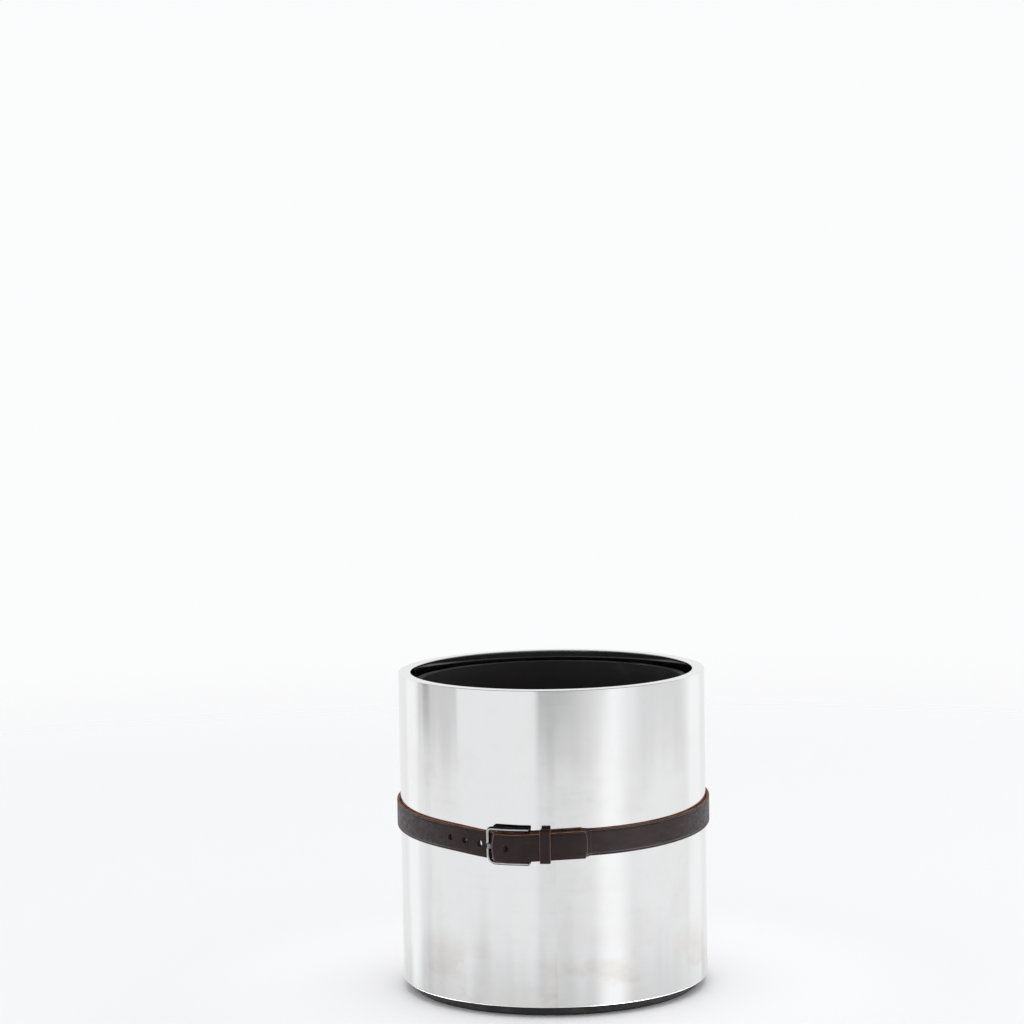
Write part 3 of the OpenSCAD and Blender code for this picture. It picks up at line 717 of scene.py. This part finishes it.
def make_strap(face, edge, back, shaded_edge):
    strap = sweep_strap("leather_strap", strap_stations(), BELT_W)
    for material in (face, edge, back, shaded_edge):
        strap.data.materials.append(material)
    outward(strap)
    half = BELT_W / 2
    # The tip's end is cut to a shallow arc
    arc_r = (half * half + TIP_SAG * TIP_SAG) / (2 * TIP_SAG)
    tip_z = outer_sag(360 + TIP_END_A)
    turn = Matrix.Rotation(radians(TIP_END_A), 4, "Z")
    span = degrees(1.15 * half / arc_r)
    bow = [(x - arc_r, z) for x, z in arc(0, 0, arc_r, -span, span, 24)]
    bow += [(6 * MM, 1.3 * half), (6 * MM, -1.3 * half)]
    # The cut leans back at the face, so that the raw edge shows as a thin line
    depth = ((BELT_T / 2 + 0.1 * MM, 0.0), (-BELT_T / 2 + 1.1 * MM, 0.0), (-BELT_T / 2 - 1 * MM, TIP_BEVEL))
    rings = [[turn @ Vector((x - lean, -TIP_R + y, z + tip_z)) for x, z in bow] for y, lean in depth]
    tip_cutter = outward(sweep("tip_cutter", rings))
    cutters = [tip_cutter]
    mouth = 12 * MM
    sag = outer_sag(360 + TIP_HOLE_A)
    cutters.append(oval_cutter("hole_1", TIP_HOLE_A, TIP_R, sag, WIDE_HOLE_W, HOLE_H, BELT_T + 0.3 * MM))
    cutters.append(oval_cutter("hole_2", -22.2, TIP_R - 4.6 * MM, PRONG_Z, HOLE_W, HOLE_H, mouth, 66))
    for i in range(3):
        a = WRAP_HOLE_A - i * degrees(HOLE_PITCH / WRAP_R)
        sag = outer_sag(360 + a)
        cutters.append(oval_cutter(f"hole_{i + 3}", a, WRAP_R, sag, WIDE_HOLE_W, HOLE_H, mouth))
    # The window in the fold that the prong's eye turns in
    slot_h = PRONG_HEIGHTS[1] - PRONG_HEIGHTS[0] + 1.2 * MM
    slot_z = PRONG_Z
    slot_turn = Matrix.Rotation(radians(PIN_A), 4, "Z")
    corners = [(-9 * MM, -slot_h / 2), (5.5 * MM, -slot_h / 2), (5.5 * MM, slot_h / 2), (-9 * MM, slot_h / 2)]
    outer, inner = STRAP_R + BELT_T / 2 + 0.1 * MM, FLAP_R - FLAP_T
    rings = [[slot_turn @ Vector((x, -r, z + slot_z)) for x, z in corners] for r in (outer, inner)]
    cutters.append(outward(sweep("window", rings)))
    # Seats of the posts and screws
    for node in ("flap_posts", "flap_screws"):
        cutters.append(post_cutter(node))
    for cutter in cutters:
        cutter.data.materials.append(edge if cutter is tip_cutter else shaded_edge)
    cut(strap, cutters)
    strap.data.transform(BELT_PLACE)
    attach(sharpen(strap, 40), "belt")
    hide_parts("belt_strap")


def post_cutter(node):
    """The CAD posts or screws themselves, taken back to the belt's level plane."""
    copy = new_object(node + "_cutter", frame["nodes"][node].data.copy())
    copy.data.materials.clear()
    copy.data.transform(BELT_PLACE.inverted())
    return outward(copy)


# ---------------------------------------------------------------- keeper, frame and prong


def band_outline(width, t, soft):
    """Cross-section of a narrow leather loop, (along the strap, out), with the strap's material indices."""
    half, half_t = width / 2, t / 2
    face = [(0.0, half_t), (half * 0.55, half_t), (half - soft, half_t)]
    corner = [(half - soft + soft * sin(f), half_t - soft * (1 - cos(f))) for f in map(radians, (30, 60))]
    side = [(half, half_t * 0.2), (half, -half_t * 0.5)]
    back = [(half - 0.2 * MM, -half_t), (half * 0.5, -half_t)]
    points = [(p, 0) for p in face + corner[:1]]
    points += [(p, 1) for p in corner[1:] + side] + [(p, 2) for p in back]
    points += [((0.0, -half_t), 2)]
    return points + [((-p[0], p[1]), m) for p, m in reversed(points[1:-1])]


# Width of the keeper's layer behind the strap, as a share of the layer in front
HIDDEN_SHARE = 0.92


def make_keeper(face, edge, back):
    """The loop runs round the strap and its tip, and its ends meet at the back."""
    t = 1.6 * MM
    r0, r1 = KEEPER_RADII[0] + t / 2, KEEPER_RADII[1] - t / 2
    z0, z1 = KEEPER_HEIGHTS[0] + t / 2, KEEPER_HEIGHTS[1] - t / 2
    hidden_mid_a = sum(KEEPER_ANGLES) / 2
    mid_a = hidden_mid_a - 0.2
    width = radians(KEEPER_ANGLES[1] - KEEPER_ANGLES[0]) * KEEPER_RADII[1] * 1.06
    sag = -1.1 * MM
    bend = 1.2 * MM
    # The loop's centre line in (radius, height), seen along the strap, from the butt joint and back to it
    gap = 0.15 * MM
    loop = [(r0, gap), (r0, z1 * 0.5)]
    loop += [(r0 + bend - bend * cos(f), z1 - bend + bend * sin(f)) for f in map(radians, range(0, 91, 15))]
    loop += [(r1 - bend + bend * sin(f), z1 - bend + bend * cos(f)) for f in map(radians, range(0, 91, 15))]
    loop += [(r1, z1 * 0.5), (r1, 0.0), (r1, z0 * 0.5)]
    loop += [(r1 - bend + bend * cos(f), z0 + bend - bend * sin(f)) for f in map(radians, range(0, 91, 15))]
    loop += [(r0 + bend - bend * sin(f), z0 + bend - bend * cos(f)) for f in map(radians, range(0, 91, 15))]
    loop += [(r0, z0 * 0.5), (r0, -gap)]
    loop = [p for i, p in enumerate(loop)
            if i == 0 or hypot(p[0] - loop[i - 1][0], p[1] - loop[i - 1][1]) > 1e-6]
    outline = band_outline(width, t, 0.8 * MM)
    sides = ring_materials(outline)
    rings = []
    for i, (r, z) in enumerate(loop):
        before, after = loop[max(i - 1, 0)], loop[min(i + 1, len(loop) - 1)]
        d = Vector((after[0] - before[0], after[1] - before[1])).normalized()
        out = Vector((-d.y, d.x))
        ring = []
        for (along, depth), _ in outline:
            rr, zz = r + out.x * depth, z + out.y * depth
            shown = min(1.0, max(0.0, (r - r0) / (r1 - r0)))
            share = mix(HIDDEN_SHARE, 1.0, shown)
            a = mix(hidden_mid_a, mid_a, shown) + degrees(along * share / KEEPER_RADII[1])
            ring.append(level(a, rr, zz + sag))
        rings.append(ring)
    keeper = sweep("leather_keeper", rings)
    n = len(outline)
    for i, polygon in enumerate(keeper.data.polygons):
        polygon.material_index = sides[i % n] if i < (len(rings) - 1) * n else 1
    for material in (face, edge, back):
        keeper.data.materials.append(material)
    outward(keeper)
    keeper.data.transform(BELT_PLACE)
    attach(sharpen(keeper, 40), "keeper")
    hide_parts("belt_keeper")


def bar_ring(centre, side, out, half_side, half_out, count=24, power=2.6):
    """One cross-section of a cast bar: a rounded, slightly squared oval."""
    ring = []
    for k in range(count):
        f = 2 * pi * k / count
        c, s = cos(f), sin(f)
        x = abs(c) ** (2 / power) * (1 if c >= 0 else -1)
        y = abs(s) ** (2 / power) * (1 if s >= 0 else -1)
        ring.append(centre + side * (half_side * x) + out * (half_out * y))
    return ring


# Half the thickness of the frame's upper arm
ARM_T = 2.3 * MM


def make_frame(metal):
    """The open frame: two arms that follow the planter's curve, joined by the bar that the prong rests on."""
    thick = 2.0 * MM
    low_z, high_z = FRAME_HEIGHTS[0] + thick - 0.7 * MM, FRAME_HEIGHTS[1] - 0.6 * MM - ARM_T
    centre_z = (low_z + high_z) / 2
    arm_z = (high_z - low_z) / 2
    bar_r = FRAME_RADII[1] - 2.1 * MM
    bar_a = FRAME_ANGLES[0] + degrees(thick / bar_r)
    end_a = FRAME_ANGLES[1]
    top_corner, low_corner = 4.6 * MM, 9.2 * MM

    def on_wall(x, z, r=bar_r):
        """A point of the flat frame outline, x along the strap from the bar, laid on the curve."""
        return level(bar_a + degrees(x / bar_r), r, z + centre_z)

    outline = []
    length = radians(end_a - bar_a) * bar_r - 1.9 * MM
    for i in range(16):
        outline.append((length - (length - top_corner) * i / 16, arm_z))
    outline += [(top_corner - top_corner * sin(f), arm_z - top_corner + top_corner * cos(f))
                for f in map(radians, range(0, 91, 9))]
    inner_top, inner_low = arm_z - top_corner, -arm_z + low_corner
    outline += [(0.0, mix(inner_top, inner_low, i / 14)) for i in range(1, 14)]
    outline += [(low_corner - low_corner * cos(f), -arm_z + low_corner - low_corner * sin(f))
                for f in map(radians, range(0, 91, 9))]
    for i in range(1, 17):
        outline.append((low_corner + (length - low_corner) * i / 16, -arm_z))
    prong_z = PRONG_Z - centre_z
    rings = []
    for i, (x, z) in enumerate(outline):
        before, after = outline[max(i - 1, 0)], outline[min(i + 1, len(outline) - 1)]
        d = Vector((after[0] - before[0], after[1] - before[1])).normalized()
        share = min(1.0, x / length)
        # Towards the pin the arms come in to meet it, and swell a little round its ends
        r = bar_r - 1.5 * MM * smooth((share - 0.45) / 0.55)
        swell = 1 + 0.1 * smooth((share - 0.7) / 0.3)
        half_out = 2.45 * MM
        upper = smooth((z + arm_z * 0.4) / (arm_z * 1.2)) if z > 0 else 0.0
        half_side = mix(thick, ARM_T, upper) * swell
        seat = exp(-0.5 * ((z - prong_z) / (1.9 * MM)) ** 4) if x < 0.5 * MM else 0.0
        centre = on_wall(x, z, r - seat * 0.85 * MM)
        a = bar_a + degrees(x / bar_r)
        out = level(a, 1)
        along = Vector((cos(radians(a)), sin(radians(a)), 0))
        side = (along * (-d.y) + Vector((0, 0, 1)) * d.x)
        rings.append(bar_ring(centre, side, out, half_side, half_out * swell - seat * 0.85 * MM, 28, 2.15))
    # Rounded ends: each end is closed by two shrinking rings
    first, last = rings[0], rings[-1]
    for ring, at_start in ((first, True), (last, False)):
        middle = sum(ring, Vector()) / len(ring)
        a = degrees(atan2(middle.x, -middle.y))
        along = Vector((cos(radians(a)), sin(radians(a)), 0))
        for shrink, reach in ((0.93, 0.35 * MM), (0.75, 0.75 * MM), (0.45, 1.0 * MM)):
            extra = [middle + (p - middle) * shrink + along * reach for p in ring]
            rings.insert(0, extra) if at_start else rings.append(extra)
    piece = outward(sweep("cast_frame", rings))
    piece.data.materials.append(metal)
    piece.data.transform(BELT_PLACE)
    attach(sharpen(piece, 45), "frame")
    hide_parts("buckle_frame")


def make_prong(metal):
    """The prong: an eye wrapped round the pin, a flat tongue, and a tip that hooks over the frame's bar."""
    z = PRONG_Z
    width = 6.4 * MM
    half_t = 1.15 * MM
    path = [(PIN_A - 0.6, PIN_CENTRE_R + 1.4 * MM), (-12.0, BODY_R + 6.7 * MM), (-14.0, BODY_R + 6.6 * MM),
            (-17.0, BODY_R + 6.5 * MM), (-20.2, BODY_R + 6.7 * MM), (-21.4, BODY_R + 7.4 * MM),
            (-22.2, BODY_R + 9.0 * MM), (-22.8, BODY_R + 10.3 * MM), (-23.35, BODY_R + 10.6 * MM),
            (-23.8, BODY_R + 10.1 * MM), (-24.0, BODY_R + 9.3 * MM)]
    taper = [1.0, 1.0, 1.0, 1.0, 1.0, 1.0, 1.0, 1.0, 0.97, 0.85, 0.6]
    rings = []
    points = [level(a, r) for a, r in path]
    for i, p in enumerate(points):
        d = (points[min(i + 1, len(points) - 1)] - points[max(i - 1, 0)]).normalized()
        out = Vector((-d.y, d.x, 0))
        if out.dot(p) < 0:
            out = -out
        centre = p + Vector((0, 0, z))
        half_w = width / 2 * mix(0.8, 1.0, taper[i])
        rings.append(bar_ring(centre, Vector((0, 0, 1)), out, half_w, half_t * taper[i], 24, 4.0))
    tongue = outward(sweep("prong_tongue", rings))
    # The eye is a short tube round the pin
    eye_r, bore_r = 3.3 * MM, PIN_R + 0.07 * MM
    half = width / 2
    soft = 0.3 * MM
    outline = [(bore_r, -half), (eye_r - soft, -half), (eye_r, -half + soft), (eye_r, half - soft),
               (eye_r - soft, half), (bore_r, half)]
    vertices, faces = [], []
    pin = level(PIN_A, PIN_CENTRE_R)
    segments, n = 48, len(outline)
    for i in range(segments):
        f = 2 * pi * i / segments
        vertices += [pin + Vector((rr * cos(f), rr * sin(f), zz + z)) for rr, zz in outline]
    for i in range(segments):
        k = (i + 1) % segments
        faces += [(i * n + j, k * n + j, k * n + (j + 1) % n, i * n + (j + 1) % n) for j in range(n)]
    eye = outward(mesh_object("prong_eye", vertices, faces))
    modifier = tongue.modifiers.new("weld", "BOOLEAN")
    modifier.operation = "UNION"
    modifier.solver = "EXACT"
    modifier.object = eye
    apply_modifiers(tongue)
    bpy.data.objects.remove(eye)
    tongue.name = "cast_prong"
    tongue.data.materials.clear()
    tongue.data.materials.append(metal)
    tongue.data.transform(BELT_PLACE)
    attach(sharpen(tongue, 40), "prong")
    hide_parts("buckle_prong")


# ---------------------------------------------------------------- studio


def make_camera():
    """A long lens a little above the planter, looking down slightly, as the picture was taken."""
    pitch, roll = radians(5.11), radians(0.95)
    place = Vector((-0.0425, -3.687, 0.8839))
    forward = Vector((0, cos(pitch), -sin(pitch)))
    up = Vector((0, sin(pitch), cos(pitch)))
    right = Vector((1, 0, 0))
    side = cos(roll) * right - sin(roll) * up
    top = sin(roll) * right + cos(roll) * up
    data = bpy.data.cameras.new("camera")
    data.sensor_width = 36.0
    data.lens = 112.2
    data.clip_end = 60.0
    camera = bpy.data.objects.new("camera", data)
    bpy.context.scene.collection.objects.link(camera)
    turn = Matrix((side, top, -forward)).transposed().to_4x4()
    camera.matrix_world = Matrix.Translation(place) @ turn
    bpy.context.scene.camera = camera


FLOOR_R = 5.0


def make_floor():
    """A round sheet of white paper whose rim fades into the white of the studio."""
    bm = bmesh.new()
    bmesh.ops.create_circle(bm, cap_ends=True, segments=96, radius=FLOOR_R)
    mesh = bpy.data.meshes.new("studio_floor")
    bm.to_mesh(mesh)
    bm.free()
    floor = new_object("studio_floor", mesh)
    material = bpy.data.materials.new("studio_floor")
    material.use_nodes = True
    nodes = Nodes(material.node_tree)
    shader = material.node_tree.nodes["Principled BSDF"]
    shader.inputs["Roughness"].default_value = 0.7
    shader.inputs["Specular IOR Level"].default_value = 0.2
    place = nodes.add("ShaderNodeTexCoord").outputs["Object"]
    distance = nodes.add("ShaderNodeVectorMath", {0: place}, operation="LENGTH").outputs["Value"]
    clear = nodes.add("ShaderNodeBsdfTransparent")
    fade = nodes.ramp(distance, FLOOR_R * 0.12, FLOOR_R * 0.6)
    # Painted light: the paper is lighter close to the planter, standing in for light that the polished wall
    # throws onto it.
    painted_glow_fade = nodes.ramp(distance, 0.9 * BODY_R, 2.8 * BODY_R)
    colour = nodes.mix(painted_glow_fade, rgb(0.985, 0.985, 0.99), rgb(0.87, 0.87, 0.88))
    join(nodes, shader, Base_Color=colour)
    blend = nodes.add("ShaderNodeMixShader", {0: fade, 1: shader.outputs[0], 2: clear.outputs[0]})
    output = next(n for n in material.node_tree.nodes if n.type == "OUTPUT_MATERIAL")
    material.node_tree.links.new(blend.outputs[0], output.inputs["Surface"])
    floor.data.materials.append(material)
    floor.visible_glossy = False


def band(nodes, value, start, end, soft_start, soft_end):
    """1 between start and end, falling to 0 over the soft widths outside them."""
    rise = nodes.ramp(value, start - soft_start, start)
    fall = nodes.ramp(value, end, end + soft_end)
    return nodes.math("SUBTRACT", rise, fall, clamp=True)


# What the polished wall reflects, by compass angle from the front: white cards and darker room.
# Start, end, softness at each, brightness added, and how much more is added high and low on the wall
REFLECTED_BANDS = (
    (-137, -127, 9, 9, 0.12, 0.0, 0.0),
    (-111, -108, 4, 5, -0.05, -0.2, 0.0),
    (-117, -77, 6, 2, 0.0, -0.22, 0.0),
    (-9, 4, 7, 26, -0.085, -0.13, 0.03),
    (-9, 37, 5, 9, 0.0, -0.16, 0.0),
    (41, 45, 16, 17, 0.17, -0.03, 0.2),
    (72, 108, 12, 14, 0.02, -0.14, 0.03),
    (128, 140, 10, 14, 0.1, 0.02, 0.02),
)


# The bright paper close by: start, end, softness at each, and brightness added
SHEEN_BANDS = ((38, 62, 12, 30, 6.5), (70, 150, 20, 20, 3.5), (-155, -98, 20, 16, 4.0))


def make_world():
    """White behind the planter; reflections see the paper in front, the cards and the dim room above."""
    world = bpy.data.worlds.new("studio")
    bpy.context.scene.world = world
    world.use_nodes = True
    nodes = Nodes(world.node_tree)
    world.node_tree.nodes.clear()
    direction = nodes.add("ShaderNodeTexCoord").outputs["Generated"]
    parts = nodes.add("ShaderNodeSeparateXYZ", {"Vector": direction}).outputs
    back = nodes.math("MULTIPLY", parts["Y"], -1.0)
    compass = nodes.math("MULTIPLY", nodes.math("ARCTAN2", parts["X"], back), degrees(1))
    rise = nodes.math("MULTIPLY", nodes.math("ARCSINE", parts["Z"]), degrees(1))
    uneven = nodes.noise(direction, 4.0, 1.0, 0.5)
    rise_here = nodes.math("ADD", rise, nodes.ramp(uneven, 0.3, 0.7, -0.45, 0.45, smooth=False))
    high = nodes.ramp(rise_here, -9.95, -8.75)
    low = band(nodes, rise_here, -16.0, -13.9, 4.0, 1.4)
    paper = nodes.math("SUBTRACT", 0.885, nodes.math("MULTIPLY", low, 0.21))
    for start, end, soft_start, soft_end, amount, more_high, more_low in REFLECTED_BANDS:
        here = band(nodes, compass, start, end, soft_start, soft_end)
        strength = nodes.math("ADD", amount, nodes.math("MULTIPLY", high, more_high))
        strength = nodes.math("ADD", strength, nodes.math("MULTIPLY", low, more_low))
        paper = nodes.math("ADD", paper, nodes.math("MULTIPLY", here, strength))
    front = nodes.ramp(parts["Y"], 0.25, -0.45)
    overhead = nodes.ramp(rise, 3.0, 18.0)
    zenith = nodes.ramp(rise, 20.0, 42.0)
    dark = nodes.math("MAXIMUM", nodes.math("MULTIPLY", overhead, front), zenith)
    level = nodes.math("MULTIPLY", paper, nodes.ramp(dark, 0.0, 1.0, 1.0, 0.02, smooth=False))
    # Bright paper close by gives the leather its sheen; the wall shows it only from higher up
    close_by = band(nodes, rise, -60, -27, 10, 7)
    for start, end, soft_start, soft_end, amount in SHEEN_BANDS:
        here = nodes.math("MULTIPLY", band(nodes, compass, start, end, soft_start, soft_end), close_by)
        level = nodes.math("ADD", level, nodes.math("MULTIPLY", here, amount))
    seen = nodes.add("ShaderNodeBackground", {"Color": rgb(0.995, 0.996, 1.0), "Strength": level})
    white = nodes.add("ShaderNodeBackground", {"Color": rgb(0.97, 0.972, 0.98), "Strength": 1.0})
    # What lights the matt things, straight or by way of the polished wall, is one even white tent
    tent = nodes.add("ShaderNodeBackground", {"Color": rgb(0.885, 0.888, 0.897), "Strength": 1.0})
    rays = nodes.add("ShaderNodeLightPath")
    matt = nodes.math("GREATER_THAN", rays.outputs["Diffuse Depth"], 0.5)
    lit = nodes.add("ShaderNodeMixShader", {0: matt, 1: seen.outputs[0], 2: tent.outputs[0]})
    seen_straight = rays.outputs["Is Camera Ray"]
    pick = nodes.add("ShaderNodeMixShader", {0: seen_straight, 1: lit.outputs[0], 2: white.outputs[0]})
    nodes.add("ShaderNodeOutputWorld", {"Surface": pick.outputs[0]})


def make_light(name, place, target, size, power, glossy=True):
    data = bpy.data.lights.new(name, "AREA")
    data.shape = "RECTANGLE"
    data.size, data.size_y = size
    data.energy = power
    light = bpy.data.objects.new(name, data)
    bpy.context.scene.collection.objects.link(light)
    light.location = place
    light.rotation_euler = (Vector(target) - Vector(place)).to_track_quat("-Z", "Y").to_euler()
    light.visible_glossy = glossy
    light.visible_camera = False
    return light


LOW_FILLS = (("low_fill_front", 0.0, -3.0), ("low_fill_left", -3.0, -0.8), ("low_fill_right", 3.0, -0.8))


def make_studio():
    make_floor()
    make_world()
    make_light("overhead_silk", (0.2, 0.2, 4.0), (0.2, 0.2, 0), (3.2, 3.2), 40, glossy=False)
    make_light("key_soft_box", (2.4, 1.4, 2.8), (0, 0, 0.15), (1.4, 1.4), 5, glossy=False)
    for name, x, y in LOW_FILLS:
        make_light(name, (x, y, 0.9), (0, 0, 0), (3.0, 1.2), 4, glossy=False)
    bpy.context.scene.view_settings.view_transform = "Standard"


# ---------------------------------------------------------------- the whole picture


def repaint(node, material):
    """Gives a CAD node, whose shape stays, a finished material."""
    piece = frame["nodes"][node]
    piece.data.materials.clear()
    piece.data.materials.append(material)


make_camera()
make_studio()

METAL = polished_metal()
FACE, BACK = leather_face(), leather_back()
EDGE = leather_edge("leather_edge", rgb(0.21, 0.075, 0.032), rgb(0.33, 0.135, 0.06), rgb(0.07, 0.027, 0.015))
SHADED_EDGE = leather_edge("leather_shaded_edge", rgb(0.035, 0.014, 0.009), rgb(0.07, 0.026, 0.015),
                           rgb(0.02, 0.01, 0.008))
GUNMETAL = gunmetal("gunmetal", rgb(0.66, 0.66, 0.69), rgb(0.48, 0.48, 0.5), 0.13, BODY_R)
# Painted shade: a darker copy of the frame's gunmetal for the prong, pin, posts and screws under the strap.
SHADED_GUNMETAL = gunmetal("shaded_gunmetal", rgb(0.11, 0.11, 0.108), rgb(0.075, 0.075, 0.075), 0.28,
                         BODY_R + 8.6 * MM)
PLASTIC, ZINC = black_plastic(), zinc_steel()

make_shell(METAL)
make_rim(METAL)
make_strap(FACE, EDGE, BACK, SHADED_EDGE)
make_keeper(FACE, EDGE, BACK)
make_frame(GUNMETAL)
make_prong(SHADED_GUNMETAL)

repaint("base_disc", mill_metal())
repaint("plinth_ring", black_paint())
repaint("foot_ring", black_rubber())
repaint("plinth_screws", ZINC)
repaint("keeper_staple", ZINC)
repaint("drip_saucer", PLASTIC)
repaint("grow_pot", PLASTIC)
for name in ("flap_posts", "flap_screws", "buckle_pin"):
    repaint(name, SHADED_GUNMETAL)

bpy.context.view_layer.update()
